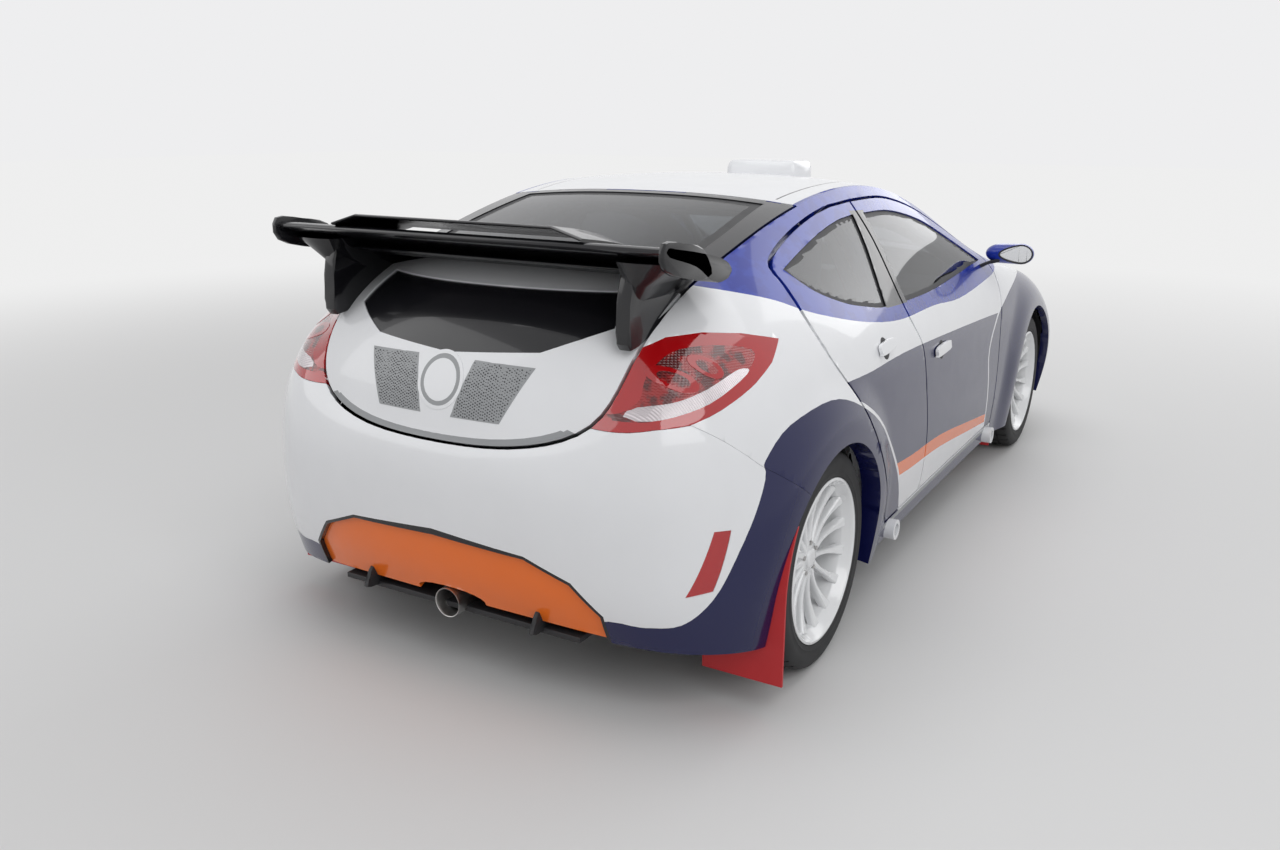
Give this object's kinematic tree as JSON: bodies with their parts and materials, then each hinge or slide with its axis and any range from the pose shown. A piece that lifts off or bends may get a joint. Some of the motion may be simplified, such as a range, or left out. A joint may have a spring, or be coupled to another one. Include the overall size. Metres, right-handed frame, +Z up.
{
  "type": "rally car",
  "caption": "Rally hatchback with opening doors, hood and tailgate, steered front wheels, a hollow cabin with roll cage and bucket seats, a rear wing and mud flaps.",
  "frame": {"origin": "on the ground, midway between nose and tail, on the centre line", "axes": "+X forward, +Y to the left of the car, +Z up"},
  "size_m": [4.2277, 1.993, 1.4],
  "materials": {
    "underbody": "satin",
    "liner": "matt",
    "white_paint": "gloss",
    "clear_glass": "gloss",
    "tinted_glass": "gloss",
    "black_trim": "satin",
    "lamp_lens": "gloss",
    "red_lens": "gloss",
    "blue_paint": "gloss",
    "navy_paint": "gloss",
    "gloss_black": "gloss",
    "orange_paint": "gloss",
    "red_rubber": "matt",
    "steel_pipe": "brushed",
    "cage_paint": "satin",
    "seat_cloth": "woven",
    "wheel_grip": "matt",
    "engine_metal": "satin",
    "knuckle_metal": "satin",
    "socket_white": "gloss",
    "wheel_white": "gloss",
    "tyre_rubber": "matt"
  },
  "bodies": {
    "body": {"floor_pan": "underbody", "wheel_houses": "liner", "body_side_left": "white_paint", "body_side_right": "white_paint", "roof_panel": "white_paint", "roof_vent": "white_paint", "windshield": "clear_glass", "cowl": "black_trim", "front_bumper": "white_paint", "front_grille": "black_trim", "headlamps": "lamp_lens", "fender_left": "white_paint", "fender_right": "white_paint", "quarter_glass_left": "tinted_glass", "tail_lamps": "red_lens", "rear_bumper": "white_paint", "rear_diffuser": "orange_paint", "rear_fog_lamps": "red_lens", "side_skirts": "navy_paint", "mud_flaps": "red_rubber", "exhaust": "steel_pipe", "roll_cage": "cage_paint", "seat_left": "seat_cloth", "seat_right": "seat_cloth", "dashboard": "black_trim", "engine_block": "engine_metal", "front_subframe": "underbody", "rear_axle": "underbody", "jack_sockets": "socket_white"},
    "door_left": {"door_left": "white_paint", "door_left_glass": "tinted_glass", "mirror_left": "blue_paint"},
    "door_front_right": {"door_front_right": "white_paint", "door_front_right_glass": "tinted_glass", "mirror_right": "blue_paint"},
    "door_rear_right": {"door_rear_right": "white_paint", "door_rear_right_glass": "tinted_glass"},
    "hood": {"hood": "white_paint"},
    "tailgate": {"tailgate": "white_paint", "tailgate_glass_upper": "tinted_glass", "tailgate_glass_lower": "tinted_glass", "rear_wing": "gloss_black"},
    "steering_wheel": {"steering_wheel": "wheel_grip"},
    "knuckle_left": {"knuckle_left": "knuckle_metal"},
    "knuckle_right": {"knuckle_right": "knuckle_metal"},
    "wheel_front_left": {"wheel_front_left": "wheel_white", "tyre_front_left": "tyre_rubber"},
    "wheel_front_right": {"wheel_front_right": "wheel_white", "tyre_front_right": "tyre_rubber"},
    "wheel_rear_left": {"wheel_rear_left": "wheel_white", "tyre_rear_left": "tyre_rubber"},
    "wheel_rear_right": {"wheel_rear_right": "wheel_white", "tyre_rear_right": "tyre_rubber"}
  },
  "joints": [
    {"name": "front_left_roll", "type": "hinge", "parent": "knuckle_left", "child": "wheel_front_left", "pos_m": [1.24, 0.7555, 0.325], "axis": [0, 1, 0], "continuous": true},
    {"name": "front_right_roll", "type": "hinge", "parent": "knuckle_right", "child": "wheel_front_right", "pos_m": [1.24, -0.7555, 0.325], "axis": [0, 1, 0], "continuous": true},
    {"name": "rear_left_roll", "type": "hinge", "parent": "body", "child": "wheel_rear_left", "pos_m": [-1.41, 0.7555, 0.325], "axis": [0, 1, 0], "continuous": true},
    {"name": "rear_right_roll", "type": "hinge", "parent": "body", "child": "wheel_rear_right", "pos_m": [-1.41, -0.7555, 0.325], "axis": [0, 1, 0], "continuous": true},
    {"name": "left_steer", "type": "hinge", "parent": "body", "child": "knuckle_left", "pos_m": [1.24, 0.6435, 0.325], "axis": [0, -0.1822, 0.9833], "range_deg": [-30, 30]},
    {"name": "right_steer", "type": "hinge", "parent": "body", "child": "knuckle_right", "pos_m": [1.24, -0.6435, 0.325], "axis": [0, 0.1822, 0.9833], "range_deg": [-30, 30]},
    {"name": "steering_wheel_turn", "type": "hinge", "parent": "body", "child": "steering_wheel", "pos_m": [0.33729, 0.37, 0.81635], "axis": [-0.9135, 0, 0.4067], "range_deg": [-360, 360]},
    {"name": "door_left_hinge", "type": "hinge", "parent": "body", "child": "door_left", "pos_m": [0.697, 0.888, 0.6], "axis": [0, 0, -1], "range_deg": [0, 65]},
    {"name": "door_front_right_hinge", "type": "hinge", "parent": "body", "child": "door_front_right", "pos_m": [0.697, -0.888, 0.6], "axis": [0, 0, 1], "range_deg": [0, 65]},
    {"name": "door_rear_right_hinge", "type": "hinge", "parent": "body", "child": "door_rear_right", "pos_m": [-0.452, -0.89, 0.6], "axis": [0, 0, 1], "range_deg": [0, 65]},
    {"name": "hood_hinge", "type": "hinge", "parent": "body", "child": "hood", "pos_m": [0.85, 0, 1], "axis": [0, -1, 0], "range_deg": [0, 55]},
    {"name": "tailgate_hinge", "type": "hinge", "parent": "body", "child": "tailgate", "pos_m": [-0.962, 0, 1.345], "axis": [0, 1, 0], "range_deg": [0, 65]}
  ],
  "couplings": [
    {"joint": "right_steer", "follows": "left_steer", "ratio": 1},
    {"joint": "steering_wheel_turn", "follows": "left_steer", "ratio": 12}
  ]
}
